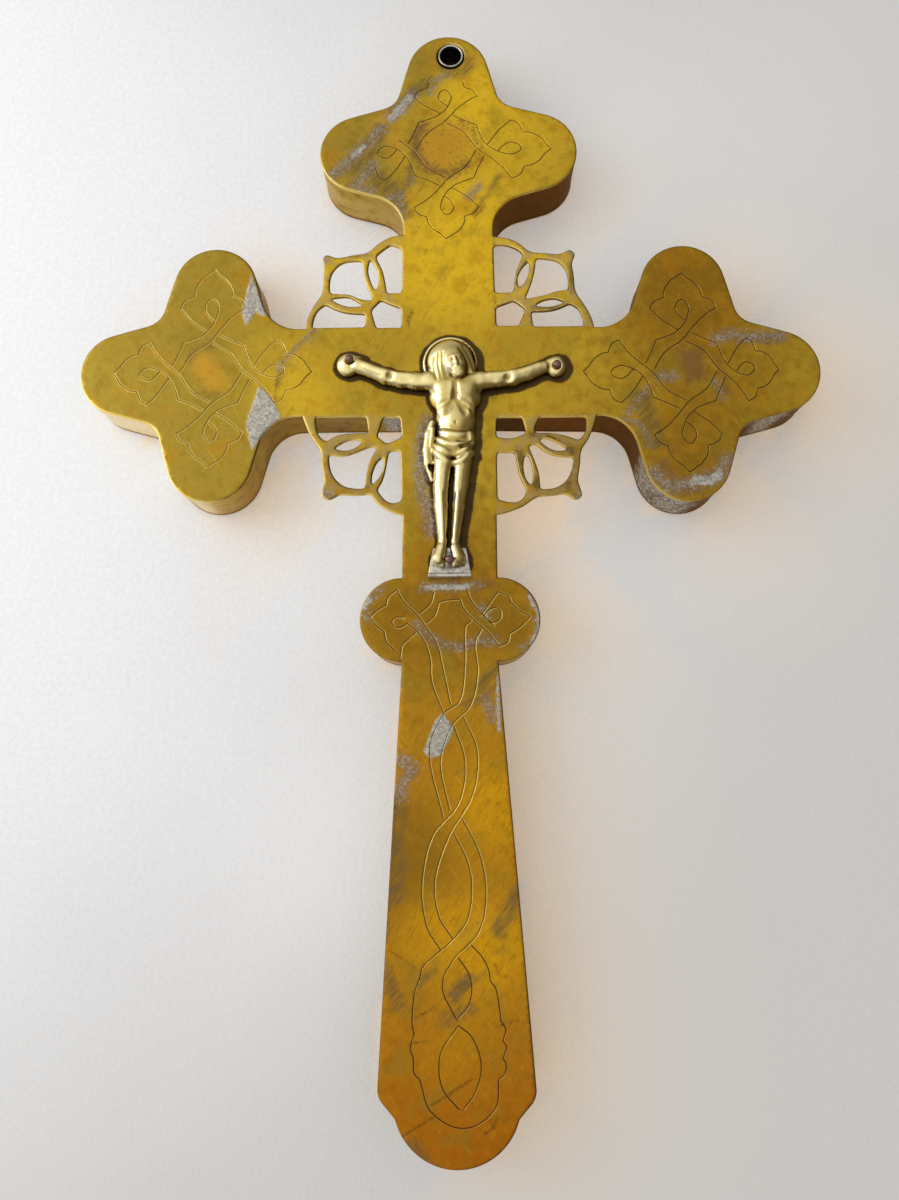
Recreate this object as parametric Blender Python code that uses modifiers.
"""Hand cross of sheet brass: a hollow soldered box with trefoil ends, pierced corners and a cast figure.

The cross lies on its back. The origin is the middle of the crossing on the back plate's outer face,
+Y runs up to the hanging hole, +X to the right as seen from the front, and +Z out of the front.
All sizes are in metres.
"""

import math

import bmesh
import bpy
from mathutils import Matrix, Vector

# Sheet box
SHEET = 0.001
BOX_DEPTH = 0.017
WALL_INSET = 0.0004
SEAM_GAP = 0.0003

# Cross outline
ARM_WIDTH = 0.029
TREFOIL_DISTANCE = 0.075
LOBE_REACH = 0.042
LOBE_RADIUS = 0.0134
LOBE_FLARE = math.radians(16)
LOBE_NOTCH_FILLET = 0.007
NECK_FILLET = 0.012
KNOP_DROP = 0.079
KNOP_RADIUS = 0.0128
TONGUE_DROP = 0.2146
TONGUE_RADIUS = 0.0182
TONGUE_NOTCH_ANGLE = math.radians(16)
TONGUE_NOTCH_FILLET = 0.0018
SHOULDER_STEP = 0.005
SHOULDER_RISE = 0.0056
SHOULDER_FILLET = 0.0056

# The hand-made cross is a little out of true
RIGHT_ARM_DROOP = math.radians(0.8)
RIGHT_ARM_SHORTFALL = 0.0009
HANDLE_LEAN = 0.0014

# Pierced corners, measured from each corner of the crossing
STRIP_WIDTH = 0.0021
RING_OFFSET = 0.0153
RING_RADIUS = 0.0091
HALF_RING_OFFSET = 0.019
HALF_RING_RADIUS = 0.0109
WEB_START = 0.0065
WEB_WIDTH = 0.0056
WEB_RISE = 0.003
WEB_REACH = 0.0077
BUD_REACH = 0.0053
BUD_TIP_WIDTH = 0.0038
BUD_BASE_WIDTH = 0.006
BUD_FILLET = 0.0015
STRIP_ROOT = 0.0008

# Hanging tube
TUBE_BORE = 0.007
TUBE_WALL = 0.0007
TUBE_EDGE_DISTANCE = 0.0073
TUBE_SIDE_OFFSET = 0.001
TUBE_PROUD = 0.0004

# Cast figure: places on the front, and heights above the plate
LEFT_HAND = (-0.031, 0.0028)
RIGHT_HAND = (0.0337, 0.0002)
HAND_HEIGHT = 0.0015
HAND_RADIUS = 0.003
SHOULDER_Y = -0.0036
SHOULDER_SPREAD = 0.0163
SHOULDER_HEIGHT = 0.0024
SHOULDER_RADIUS = 0.0027
ARM_SAG = 0.0013
ARM_RADIUS = 0.0025
WRIST_RADIUS = 0.0021
PALM_LENGTH = 0.0024
BODY_X = 0.0013
CHEST_Y = -0.0088
WAIST_Y = -0.0175
HIP_Y = -0.0252
CHEST_WIDTH = 0.0135
CHEST_LENGTH = 0.0174
WAIST_WIDTH = 0.0105
WAIST_LENGTH = 0.0164
HIP_WIDTH = 0.0135
HIP_LENGTH = 0.0116
BODY_RELIEF = 0.0055
LEG_SPREAD = 0.0048
THIGH_HEIGHT = 0.0018
KNEE_Y = -0.039
KNEE_HEIGHT = 0.0022
ANKLE_Y = -0.0567
ANKLE_SPREAD = 0.0032
ANKLE_HEIGHT = 0.0027
TOE_Y = -0.0632
TOE_SPREAD = 0.0058
THIGH_RADIUS = 0.0031
KNEE_RADIUS = 0.0024
ANKLE_RADIUS = 0.0015
FOOT_RADIUS = 0.0019
FOOT_HEIGHT = 0.0046
HEAD_PLACE = (0.0004, 0.0012)
HEAD_HEIGHT = 0.0042
HEAD_TILT = math.radians(20)
HEAD_SIZE = (0.007, 0.01, 0.007)
HAIR_SIZE = (0.0088, 0.01, 0.0062)
HAIR_RISE = 0.0012
HAIR_SETBACK = 0.0018
BEARD_SIZE = (0.0044, 0.0043, 0.0044)
BEARD_DROP = 0.0045
BEARD_SETBACK = 0.0009
NECK_RADIUS = 0.0025
HALO_PLACE = (0.0005, 0.0018)
HALO_RADIUS = 0.0087
HALO_THICKNESS = 0.0012
HALO_RIM = 0.0006
DRAPE_X = -0.0054
DRAPE_HEIGHT = 0.0018
DRAPE_LENGTH = 0.017
DRAPE_RADIUS = 0.0013
DRAPE_SWAY = 0.0012
CAST_GRAIN = 0.0006
CAST_KEEP = 0.16

# Footrest and nails
FOOTREST_TOP_Y = -0.0572
FOOTREST_BOTTOM_Y = -0.0658
FOOTREST_TOP_WIDTH = 0.0102
FOOTREST_BOTTOM_WIDTH = 0.0134
FOOTREST_TOP_HEIGHT = 0.0014
FOOTREST_BOTTOM_HEIGHT = 0.003
NAIL_SHANK_RADIUS = 0.0007
NAIL_HEAD_RADIUS = 0.0011
NAIL_HEAD_RISE = 0.0008
NAIL_TAIL_LENGTH = 0.0006
HAND_NAIL_SEAT = 0.003
FEET_NAIL_SEAT = 0.0052
FEET_NAIL_PLACE = (0.0, -0.0617)

# Roundness of curves
ARC_STEP = math.radians(12)
TUBE_SIDES = 32
NAIL_SIDES = 16
HALO_SIDES = 48
LIMB_SIDES = 16
FILLET_SHARE = 0.98

HALF_ARM = ARM_WIDTH / 2
KNOP_END = KNOP_DROP + KNOP_RADIUS
FRONT = BOX_DEPTH
FIGURE_BACK = FRONT + SEAM_GAP
TUBE_PLACE = (TUBE_SIDE_OFFSET, TREFOIL_DISTANCE + LOBE_REACH - TUBE_EDGE_DISTANCE)
NAIL_PLACES = {
    "left_hand_nail": (LEFT_HAND, HAND_NAIL_SEAT),
    "right_hand_nail": (RIGHT_HAND, HAND_NAIL_SEAT),
    "feet_nail": (FEET_NAIL_PLACE, FEET_NAIL_SEAT),
}


def clear_scene():
    for old in list(bpy.data.objects):
        bpy.data.objects.remove(old)


def collection(name):
    made = bpy.data.collections.new(name)
    bpy.context.scene.collection.children.link(made)
    return made


def metal(name, colour, roughness):
    made = bpy.data.materials.new(name)
    made.use_nodes = True
    shader = made.node_tree.nodes["Principled BSDF"]
    shader.inputs["Base Color"].default_value = (*colour, 1)
    shader.inputs["Roughness"].default_value = roughness
    shader.inputs["Metallic"].default_value = 1
    return made


def turned(point, angle):
    """A flat point turned about the origin."""
    x, y = point
    return (
        x * math.cos(angle) - y * math.sin(angle),
        x * math.sin(angle) + y * math.cos(angle),
    )


def arc(centre, radius, start, end):
    """Points along an arc, both ends included."""
    count = math.ceil(abs(end - start) / ARC_STEP)
    angles = [start + (end - start) * step / count for step in range(count + 1)]
    return [(centre[0] + radius * math.cos(a), centre[1] + radius * math.sin(a)) for a in angles]


def circle(centre, radius, sides):
    """Corners of a round outline."""
    angles = [2 * math.pi * step / sides for step in range(sides)]
    return [(centre[0] + radius * math.cos(a), centre[1] + radius * math.sin(a)) for a in angles]


def fillet_lengths(points, radii):
    """How far each fillet reaches along its sides, eased where two of them share a short side."""
    count = len(points)
    lengths = []
    for i, here in enumerate(points):
        before = (points[i - 1] - here).normalized()
        after = (points[(i + 1) % count] - here).normalized()
        half = before.angle(after) / 2
        lengths.append(radii[i] / math.tan(half) if radii[i] else 0.0)
    for i in range(count):
        other = (i + 1) % count
        room = FILLET_SHARE * (points[other] - points[i]).length
        wanted = lengths[i] + lengths[other]
        if wanted > room:
            lengths[i] *= room / wanted
            lengths[other] *= room / wanted
    return lengths


def rounded(corners):
    """A closed outline from (point, fillet radius) corners, each fillet a tangent arc."""
    points = [Vector(point) for point, radius in corners]
    lengths = fillet_lengths(points, [radius for point, radius in corners])
    outline = []
    for i, here in enumerate(points):
        if not lengths[i]:
            outline.append(tuple(here))
            continue
        before = (points[i - 1] - here).normalized()
        after = (points[(i + 1) % len(points)] - here).normalized()
        half = before.angle(after) / 2
        radius = lengths[i] * math.tan(half)
        centre = here + (before + after).normalized() * (radius / math.sin(half))
        first = here + before * lengths[i] - centre
        last = here + after * lengths[i] - centre
        start = math.atan2(first.y, first.x)
        sweep = math.remainder(math.atan2(last.y, last.x) - start, 2 * math.pi)
        outline += arc(tuple(centre), radius, start, start + sweep)
    return outline


def inset(outline, distance):
    """The closed counter-clockwise outline moved inwards, point for point."""
    moved = []
    count = len(outline)
    for i in range(count):
        here = Vector(outline[i])
        along_in = (here - Vector(outline[i - 1])).normalized()
        along_out = (Vector(outline[(i + 1) % count]) - here).normalized()
        bisector = Vector((-along_in.y, along_in.x)) + Vector((-along_out.y, along_out.x))
        bisector.normalize()
        across = bisector.dot(Vector((-along_in.y, along_in.x)))
        moved.append(tuple(here + bisector * (distance / across)))
    return moved


def trefoil_arm(angle, droop=0.0, shortfall=0.0):
    """Corners of one arm, from the crossing's corner round its three lobes to the next corner."""
    flare = math.tan(LOBE_FLARE)
    apex = LOBE_REACH - LOBE_RADIUS + LOBE_RADIUS / math.sin(LOBE_FLARE)
    notch = apex * flare / (1 + flare)
    middle = TREFOIL_DISTANCE - shortfall
    neck = middle - flare * (apex - HALF_ARM)
    lobes = [
        ((HALF_ARM, neck), NECK_FILLET),
        ((apex, middle), LOBE_RADIUS),
        ((notch, middle + notch), LOBE_NOTCH_FILLET),
        ((0, middle + apex), LOBE_RADIUS),
        ((-notch, middle + notch), LOBE_NOTCH_FILLET),
        ((-apex, middle), LOBE_RADIUS),
        ((-HALF_ARM, neck), NECK_FILLET),
    ]
    crossing_corner = (turned((HALF_ARM, HALF_ARM), angle), 0)
    return [crossing_corner] + [(turned(point, angle - droop), radius) for point, radius in lobes]


def shaft_side(side):
    """Corners down one side of the shaft and round its half of the knop, always counter-clockwise."""
    first, last = (math.pi / 2, 3 * math.pi / 2) if side < 0 else (-math.pi / 2, math.pi / 2)
    knop = arc((side * HALF_ARM, -KNOP_DROP), KNOP_RADIUS, first, last)
    if side < 0:
        return [((-HALF_ARM, -HALF_ARM), 0)] + [(point, 0) for point in knop[:-1]]
    return [(point, 0) for point in knop]


def handle_grip():
    """Corners of the flared handle and its tongue, from the knop's left end to its right end."""
    first = math.pi + TONGUE_NOTCH_ANGLE
    last = 2 * math.pi - TONGUE_NOTCH_ANGLE
    tongue = arc((HANDLE_LEAN, -TONGUE_DROP), TONGUE_RADIUS, first, last)
    left_notch = tongue[0]
    right_notch = tongue[-1]
    left_shoulder = (left_notch[0] - SHOULDER_STEP, left_notch[1] + SHOULDER_RISE)
    right_shoulder = (right_notch[0] + SHOULDER_STEP, right_notch[1] + SHOULDER_RISE)
    corners = [((-HALF_ARM, -KNOP_END), 0), (left_shoulder, SHOULDER_FILLET)]
    corners.append((left_notch, TONGUE_NOTCH_FILLET))
    corners += [(point, 0) for point in tongue[1:-1]]
    corners += [(right_notch, TONGUE_NOTCH_FILLET), (right_shoulder, SHOULDER_FILLET)]
    return corners


def outline_sections():
    """The cross outline, counter-clockwise, as the corners that each wall strip follows."""
    return {
        "top_arm_wall": trefoil_arm(0),
        "left_arm_wall": trefoil_arm(math.pi / 2),
        "left_shaft_wall": shaft_side(-1),
        "handle_wall": handle_grip(),
        "right_shaft_wall": shaft_side(1),
        "right_arm_wall": trefoil_arm(-math.pi / 2, RIGHT_ARM_DROOP, RIGHT_ARM_SHORTFALL),
    }


def flat_curve(name, outlines, low, high, home, material):
    """A sheet between two heights: the first outline is its edge and the others are holes."""
    curve = bpy.data.curves.new(name, "CURVE")
    curve.dimensions = "2D"
    curve.fill_mode = "BOTH"
    curve.extrude = (high - low) / 2
    for outline in outlines:
        spline = curve.splines.new("POLY")
        spline.points.add(len(outline) - 1)
        for point, place in zip(spline.points, outline):
            point.co = (*place, 0, 1)
        spline.use_cyclic_u = True
    made = bpy.data.objects.new(name, curve)
    made.location.z = (low + high) / 2
    home.objects.link(made)
    if material:
        curve.materials.append(material)
    return made


def as_mesh(curved):
    """The same object as a closed mesh, for joining and cutting."""
    bpy.context.view_layer.update()
    graph = bpy.context.evaluated_depsgraph_get()
    mesh = bpy.data.meshes.new_from_object(curved.evaluated_get(graph))
    shape = bmesh.new()
    shape.from_mesh(mesh)
    bmesh.ops.remove_doubles(shape, verts=shape.verts, dist=SHEET / 1000)
    bmesh.ops.recalc_face_normals(shape, faces=shape.faces)
    shape.to_mesh(mesh)
    shape.free()
    name = curved.name
    home = curved.users_collection[0]
    place = curved.matrix_world.copy()
    bpy.data.objects.remove(curved)
    made = bpy.data.objects.new(name, mesh)
    made.matrix_world = place
    home.objects.link(made)
    return made


def as_helper(made):
    made.hide_render = True
    made.display_type = "WIRE"
    return made


def half_ring():
    """The half ring that springs from one arm's edge, with its ends rooted in the sheet."""
    centre = (HALF_ARM, HALF_ARM + HALF_RING_OFFSET)
    outer = arc(centre, HALF_RING_RADIUS + STRIP_WIDTH / 2, -math.pi / 2, math.pi / 2)
    inner = arc(centre, HALF_RING_RADIUS - STRIP_WIDTH / 2, math.pi / 2, -math.pi / 2)
    root = HALF_ARM - STRIP_ROOT
    ends = [(root, outer[-1][1]), (root, inner[0][1])]
    starts = [(root, inner[-1][1]), (root, outer[0][1])]
    return outer + ends + inner + starts


def half_ring_web():
    """The web that widens the half ring's inner end where it meets the arm."""
    low = HALF_ARM + WEB_START
    high = low + WEB_WIDTH
    root = HALF_ARM - STRIP_ROOT
    tip = HALF_ARM + WEB_REACH
    return [(root, low), (tip, low + WEB_RISE), (tip, high), (root, high)]


def ring_bud(centre):
    """The rounded bud on the ring's outer corner."""
    tip = RING_RADIUS + BUD_REACH
    corners = [
        ((RING_RADIUS, -BUD_BASE_WIDTH / 2), 0),
        ((tip, -BUD_TIP_WIDTH / 2), BUD_FILLET),
        ((tip, BUD_TIP_WIDTH / 2), BUD_FILLET),
        ((RING_RADIUS, BUD_BASE_WIDTH / 2), 0),
    ]
    points = [turned(point, math.pi / 4) for point in rounded(corners)]
    return [(centre[0] + x, centre[1] + y) for x, y in points]


def corner_pieces():
    """Outlines of one pierced corner, each with its hole if it has one."""
    centre = (HALF_ARM + RING_OFFSET, HALF_ARM + RING_OFFSET)
    sides = math.ceil(2 * math.pi / ARC_STEP)
    rim = circle(centre, RING_RADIUS + STRIP_WIDTH / 2, sides)
    bore = circle(centre, RING_RADIUS - STRIP_WIDTH / 2, sides)
    beside_shaft = [half_ring(), half_ring_web()]
    beside_arm = [[(y, x) for x, y in outline] for outline in beside_shaft]
    return [[rim, bore], [ring_bud(centre)]] + [[outline] for outline in beside_shaft + beside_arm]


def build_corner_helpers(home):
    """All four pierced corners as solids of the sheet's thickness, to be joined to the front plate."""
    for right in (1, -1):
        for up in (1, -1):
            for outlines in corner_pieces():
                placed = [[(right * x, up * y) for x, y in outline] for outline in outlines]
                strip = flat_curve("corner_strip", placed, FRONT - SHEET, FRONT, home, None)
                as_helper(as_mesh(strip))


def join(made, home, operation):
    """Joins or cuts a mesh object with everything in a collection."""
    modifier = made.modifiers.new(operation.lower(), "BOOLEAN")
    modifier.operation = operation
    modifier.operand_type = "COLLECTION"
    modifier.collection = home
    modifier.solver = "EXACT"
    return modifier


def build_plates(outline, parts, corners, brass):
    tube_hole = circle(TUBE_PLACE, TUBE_BORE / 2 + TUBE_WALL + SEAM_GAP, TUBE_SIDES)
    nail_holes = [
        circle(place, NAIL_SHANK_RADIUS + SEAM_GAP, NAIL_SIDES) for place, seat in NAIL_PLACES.values()
    ]
    flat_curve("back_plate", [outline, tube_hole], 0, SHEET, parts, brass)
    front = [outline, tube_hole] + nail_holes
    plate = as_mesh(flat_curve("front_plate", front, FRONT - SHEET, FRONT, parts, brass))
    join(plate, corners, "UNION")


def build_walls(outline, starts, parts, materials):
    """One bent strip for each section of the outline, mitred to its neighbours."""
    outer = inset(outline, WALL_INSET)
    inner = inset(outline, WALL_INSET + SHEET)
    names = list(starts)
    for name, following in zip(names, names[1:] + names[:1]):
        first = starts[name]
        last = starts[following] or len(outline)
        places = [i % len(outline) for i in range(first, last + 1)]
        outside = [Vector(outer[i]) for i in places]
        inside = [Vector(inner[i]) for i in places]
        lead_in = (Vector(outline[places[1]]) - Vector(outline[places[0]])).normalized() * SEAM_GAP
        lead_out = (Vector(outline[places[-2]]) - Vector(outline[places[-1]])).normalized() * SEAM_GAP
        for edge in (outside, inside):
            edge[0] = edge[0] + lead_in
            edge[-1] = edge[-1] + lead_out
        strip = [tuple(point) for point in outside + inside[::-1]]
        low = SHEET + SEAM_GAP
        flat_curve(name, [strip], low, BOX_DEPTH - low, parts, materials)


def build_tube(parts, material):
    rims = [
        circle(TUBE_PLACE, TUBE_BORE / 2 + TUBE_WALL, TUBE_SIDES),
        circle(TUBE_PLACE, TUBE_BORE / 2, TUBE_SIDES),
    ]
    flat_curve("hanging_tube", rims, SEAM_GAP, FRONT + TUBE_PROUD, parts, material)


def add_blob(shape, centre, size, turn=0.0):
    """An egg-shaped lump of the given full size, turned about the height axis."""
    place = Matrix.Translation(centre) @ Matrix.Rotation(turn, 4, "Z")
    scaled = place @ Matrix.Diagonal((*[side / 2 for side in size], 1))
    bmesh.ops.create_uvsphere(shape, u_segments=24, v_segments=14, radius=1, matrix=scaled)


def add_limb(shape, joints):
    """A tapering limb through (place, radius) joints."""
    for place, radius in joints:
        bmesh.ops.create_uvsphere(
            shape, u_segments=LIMB_SIDES, v_segments=10, radius=radius, matrix=Matrix.Translation(place)
        )
    for (low, low_radius), (high, high_radius) in zip(joints, joints[1:]):
        span = high - low
        place = Matrix.Translation((low + high) / 2) @ span.to_track_quat("Z", "Y").to_matrix().to_4x4()
        bmesh.ops.create_cone(
            shape,
            cap_ends=True,
            segments=LIMB_SIDES,
            radius1=low_radius,
            radius2=high_radius,
            depth=span.length,
            matrix=place,
        )


def above(place, height):
    """A point over a place on the front plate."""
    return Vector((*place, FIGURE_BACK + height))


def add_arms(shape):
    for hand, side in ((LEFT_HAND, -1), (RIGHT_HAND, 1)):
        shoulder = above((BODY_X + side * SHOULDER_SPREAD / 2, SHOULDER_Y), SHOULDER_HEIGHT)
        palm = above(hand, HAND_HEIGHT)
        elbow = (shoulder + palm) / 2 - Vector((0, ARM_SAG, 0))
        wrist = palm + (elbow - palm).normalized() * PALM_LENGTH
        chest = above((BODY_X, CHEST_Y), SHOULDER_HEIGHT)
        add_limb(
            shape,
            [
                (chest, ARM_RADIUS),
                (shoulder, SHOULDER_RADIUS),
                (elbow, ARM_RADIUS),
                (wrist, WRIST_RADIUS),
                (palm, HAND_RADIUS),
            ],
        )


def add_body(shape):
    """Chest, waist and the cloth round the hips, with its loose end at the left."""
    for y, width, length in (
        (CHEST_Y, CHEST_WIDTH, CHEST_LENGTH),
        (WAIST_Y, WAIST_WIDTH, WAIST_LENGTH),
        (HIP_Y, HIP_WIDTH, HIP_LENGTH),
    ):
        add_blob(shape, above((BODY_X, y), 0), (width, length, 2 * BODY_RELIEF))
    knot = above((DRAPE_X, WAIST_Y), DRAPE_HEIGHT)
    bend = knot - Vector((DRAPE_SWAY, DRAPE_LENGTH / 2, 0))
    end = knot - Vector((0, DRAPE_LENGTH, 0))
    add_limb(shape, [(place, DRAPE_RADIUS) for place in (knot, bend, end)])


def add_legs(shape):
    for side in (-1, 1):
        hip = above((BODY_X + side * LEG_SPREAD / 2, HIP_Y), THIGH_HEIGHT)
        knee = above((side * LEG_SPREAD / 2, KNEE_Y), KNEE_HEIGHT)
        ankle = above((side * ANKLE_SPREAD / 2, ANKLE_Y), ANKLE_HEIGHT)
        toe = above((side * TOE_SPREAD / 2, TOE_Y), FOOT_HEIGHT)
        add_limb(
            shape,
            [
                (hip, THIGH_RADIUS),
                (knee, KNEE_RADIUS),
                (ankle, ANKLE_RADIUS),
                (toe, FOOT_RADIUS),
            ],
        )


def add_head(shape):
    """Halo disc with its raised rim, neck, head, hair and beard."""
    halo = above(HALO_PLACE, HALO_THICKNESS / 2)
    bmesh.ops.create_cone(
        shape,
        cap_ends=True,
        segments=HALO_SIDES,
        radius1=HALO_RADIUS,
        radius2=HALO_RADIUS,
        depth=HALO_THICKNESS,
        matrix=Matrix.Translation(halo),
    )
    rim = circle(HALO_PLACE, HALO_RADIUS - HALO_RIM, HALO_SIDES // 2)
    rim_joints = [(above(place, HALO_THICKNESS), HALO_RIM) for place in rim]
    add_limb(shape, rim_joints + rim_joints[:1])
    head = above(HEAD_PLACE, HEAD_HEIGHT)
    down = Vector((math.sin(HEAD_TILT), -math.cos(HEAD_TILT), 0))
    add_blob(shape, head, HEAD_SIZE, HEAD_TILT)
    hair = head - down * HAIR_RISE - Vector((0, 0, HAIR_SETBACK))
    add_blob(shape, hair, HAIR_SIZE, HEAD_TILT)
    beard = head + down * BEARD_DROP - Vector((0, 0, BEARD_SETBACK))
    add_blob(shape, beard, BEARD_SIZE, HEAD_TILT)
    neck = above((BODY_X, SHOULDER_Y), SHOULDER_HEIGHT)
    add_limb(shape, [(neck, NECK_RADIUS), (head, NECK_RADIUS)])


def footrest_mesh(name, clearance):
    """The wedge under the feet, or with a clearance the room that it takes."""
    shape = bmesh.new()
    bmesh.ops.create_cube(shape, size=1)
    for corner in shape.verts:
        at_top = corner.co.y > 0
        width = FOOTREST_TOP_WIDTH if at_top else FOOTREST_BOTTOM_WIDTH
        height = FOOTREST_TOP_HEIGHT if at_top else FOOTREST_BOTTOM_HEIGHT
        edge = FOOTREST_TOP_Y + clearance if at_top else FOOTREST_BOTTOM_Y - clearance
        raised = height + clearance if corner.co.z > 0 else -clearance
        corner.co = (math.copysign(width / 2 + clearance, corner.co.x), edge, FIGURE_BACK + raised)
    mesh = bpy.data.meshes.new(name)
    shape.to_mesh(mesh)
    shape.free()
    return mesh


def add_cylinder(name, place, radius, low, high, home):
    shape = bmesh.new()
    bmesh.ops.create_cone(
        shape,
        cap_ends=True,
        segments=NAIL_SIDES,
        radius1=radius,
        radius2=radius,
        depth=high - low,
        matrix=Matrix.Translation((*place, (low + high) / 2)),
    )
    mesh = bpy.data.meshes.new(name)
    shape.to_mesh(mesh)
    shape.free()
    made = bpy.data.objects.new(name, mesh)
    home.objects.link(made)
    return made


def build_figure_cutters(home):
    """What is taken off the casting: its flat back, the room for the footrest, and the nail seats."""
    back = bpy.data.meshes.new("flat_back")
    shape = bmesh.new()
    bmesh.ops.create_cube(shape, size=1)
    for corner in shape.verts:
        side = math.copysign(TREFOIL_DISTANCE, corner.co.x)
        end = math.copysign(TREFOIL_DISTANCE, corner.co.y) + HIP_Y
        corner.co = (side, end, FIGURE_BACK if corner.co.z > 0 else 0)
    shape.to_mesh(back)
    shape.free()
    for name, mesh in (("flat_back", back), ("footrest_room", footrest_mesh("footrest_room", SEAM_GAP))):
        made = bpy.data.objects.new(name, mesh)
        home.objects.link(made)
        as_helper(made)
    for name, (place, seat) in NAIL_PLACES.items():
        seat_height = FIGURE_BACK + seat
        top = seat_height + BODY_RELIEF
        hole = add_cylinder(name + "_hole", place, NAIL_SHANK_RADIUS + SEAM_GAP, 0, top, home)
        as_helper(hole)
        well = add_cylinder(name + "_well", place, NAIL_HEAD_RADIUS + SEAM_GAP, seat_height, top, home)
        as_helper(well)


def build_figure(parts, cutters, material):
    """The casting: separate lumps fused by a fine remesh, smoothed, thinned and cut flat."""
    shape = bmesh.new()
    add_arms(shape)
    add_body(shape)
    add_legs(shape)
    add_head(shape)
    mesh = bpy.data.meshes.new("corpus")
    shape.to_mesh(mesh)
    shape.free()
    mesh.materials.append(material)
    made = bpy.data.objects.new("corpus", mesh)
    parts.objects.link(made)
    fuse = made.modifiers.new("fuse", "REMESH")
    fuse.mode = "VOXEL"
    fuse.voxel_size = CAST_GRAIN
    fuse.use_smooth_shade = True
    soften = made.modifiers.new("soften", "SMOOTH")
    soften.factor = 0.5
    soften.iterations = 2
    thin = made.modifiers.new("thin", "DECIMATE")
    thin.ratio = CAST_KEEP
    join(made, cutters, "DIFFERENCE")


def build_footrest(parts, material):
    """The wedge under the feet, bored for the nail that goes through it."""
    mesh = footrest_mesh("footrest", 0)
    mesh.materials.append(material)
    made = bpy.data.objects.new("footrest", mesh)
    parts.objects.link(made)
    bore = made.modifiers.new("bore", "BOOLEAN")
    bore.operation = "DIFFERENCE"
    bore.object = bpy.data.objects["feet_nail_hole"]
    bore.solver = "EXACT"


def build_nail(name, place, seat, parts, material):
    """A domed rivet: head on the casting, shank through the sheet, peened tail inside the box."""
    head_low = FIGURE_BACK + seat + SEAM_GAP
    tail_high = FRONT - SHEET - SEAM_GAP
    dome = arc((0, head_low), NAIL_HEAD_RADIUS, math.pi / 2, 0)
    profile = [(x, head_low + (z - head_low) * NAIL_HEAD_RISE / NAIL_HEAD_RADIUS) for x, z in dome]
    profile += [(NAIL_SHANK_RADIUS, head_low), (NAIL_SHANK_RADIUS, tail_high)]
    tail_radius = NAIL_SHANK_RADIUS + 2 * SEAM_GAP
    profile += [(tail_radius, tail_high), (tail_radius, tail_high - NAIL_TAIL_LENGTH)]
    profile.append((0, tail_high - NAIL_TAIL_LENGTH))
    profile[0] = (0, profile[0][1])
    mesh = bpy.data.meshes.new(name)
    edges = [(i, i + 1) for i in range(len(profile) - 1)]
    mesh.from_pydata([(x, 0, z) for x, z in profile], edges, [])
    mesh.materials.append(material)
    made = bpy.data.objects.new(name, mesh)
    made.location = (*place, 0)
    parts.objects.link(made)
    spin = made.modifiers.new("spin", "SCREW")
    spin.steps = NAIL_SIDES
    spin.render_steps = NAIL_SIDES
    spin.use_merge_vertices = True
    spin.merge_threshold = SEAM_GAP / 30


def main():
    clear_scene()
    parts = collection("hand_cross")
    corners = collection("pierced_corner_strips")
    cutters = collection("figure_cutters")
    brass = metal("brass_sheet", (0.62, 0.45, 0.12), 0.35)
    edge_brass = metal("brass_edge", (0.40, 0.27, 0.11), 0.45)
    cast_brass = metal("brass_casting", (0.68, 0.55, 0.28), 0.3)
    tin = metal("tinned_metal", (0.55, 0.54, 0.52), 0.4)
    sections = outline_sections()
    outline = rounded([corner for section in sections.values() for corner in section])
    starts = {name: outline.index(tuple(Vector(section[0][0]))) for name, section in sections.items()}
    build_corner_helpers(corners)
    build_plates(outline, parts, corners, brass)
    build_walls(outline, starts, parts, edge_brass)
    build_tube(parts, tin)
    build_figure_cutters(cutters)
    build_figure(parts, cutters, cast_brass)
    build_footrest(parts, tin)
    for name, (place, seat) in NAIL_PLACES.items():
        build_nail(name, place, seat, parts, tin)


main()
